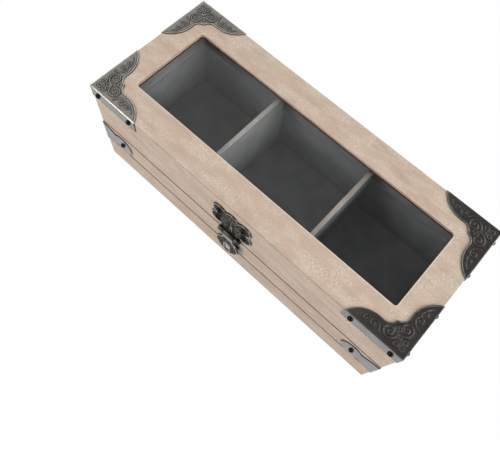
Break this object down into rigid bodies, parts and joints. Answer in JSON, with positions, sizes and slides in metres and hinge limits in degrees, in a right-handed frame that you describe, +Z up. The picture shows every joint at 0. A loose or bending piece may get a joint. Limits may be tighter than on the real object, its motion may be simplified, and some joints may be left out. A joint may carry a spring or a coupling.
{
  "type": "tea bag organizer box",
  "caption": "Low wooden tea box with equal inner compartments, a hinged lid with a glazed window, pressed metal corner mounts and a front hasp.",
  "frame": {"origin": "middle of the flat underside, on the table that the box stands on", "axes": "+X along the length, to the right seen from the hasp side; +Y from the hasp side to the hinge side; +Z up"},
  "size_m": [0.2442, 0.1079, 0.0784],
  "materials": {
    "pale_wood": "raw sanded",
    "top_veneer": "raw sanded",
    "dark_panel": "matt stain",
    "clear_pane": "polished",
    "antique_bronze": "darkened, rubbed bright at the edges",
    "black_tack": "gloss",
    "pin_wire": "dull"
  },
  "bodies": {
    "base": {"base_front_board": "pale_wood", "base_back_board": "pale_wood", "base_left_board": "pale_wood", "base_right_board": "pale_wood", "bottom_panel": "dark_panel", "divider_left": "dark_panel", "divider_right": "dark_panel", "base_mount_front_left": "antique_bronze", "base_mount_front_right": "antique_bronze", "base_mount_back_left": "antique_bronze", "base_mount_back_right": "antique_bronze", "base_mount_tacks": "black_tack", "hinge_base_leaf_left": "antique_bronze", "hinge_base_leaf_right": "antique_bronze", "hinge_pin_left": "pin_wire", "hinge_pin_right": "pin_wire", "hinge_base_nails": "black_tack", "catch_plate": "antique_bronze", "catch_tacks": "black_tack"},
    "lid": {"lid_top_frame": "top_veneer", "lid_front_rail": "pale_wood", "lid_back_rail": "pale_wood", "lid_left_rail": "pale_wood", "lid_right_rail": "pale_wood", "glass_pane": "clear_pane", "pane_bead_front": "dark_panel", "pane_bead_back": "dark_panel", "pane_bead_left": "dark_panel", "pane_bead_right": "dark_panel", "lid_mount_front_left": "antique_bronze", "lid_mount_front_right": "antique_bronze", "lid_mount_back_left": "antique_bronze", "lid_mount_back_right": "antique_bronze", "lid_mount_tacks": "black_tack", "hinge_lid_leaf_left": "antique_bronze", "hinge_lid_leaf_right": "antique_bronze", "hinge_lid_nails": "black_tack", "hasp_plate": "antique_bronze", "hasp_plate_tacks": "black_tack", "hasp_pin": "pin_wire"},
    "hasp": {"hasp_tongue": "antique_bronze"}
  },
  "joints": [
    {"name": "lid_hinge", "type": "hinge", "parent": "base", "child": "lid", "pos_m": [0, 0.0511, 0.041], "axis": [-1, 0, 0], "range_deg": [0, 105]},
    {"name": "hasp_hinge", "type": "hinge", "parent": "lid", "child": "hasp", "pos_m": [0, -0.051, 0.0434], "axis": [-1, 0, 0], "range_deg": [0, 140]}
  ]
}
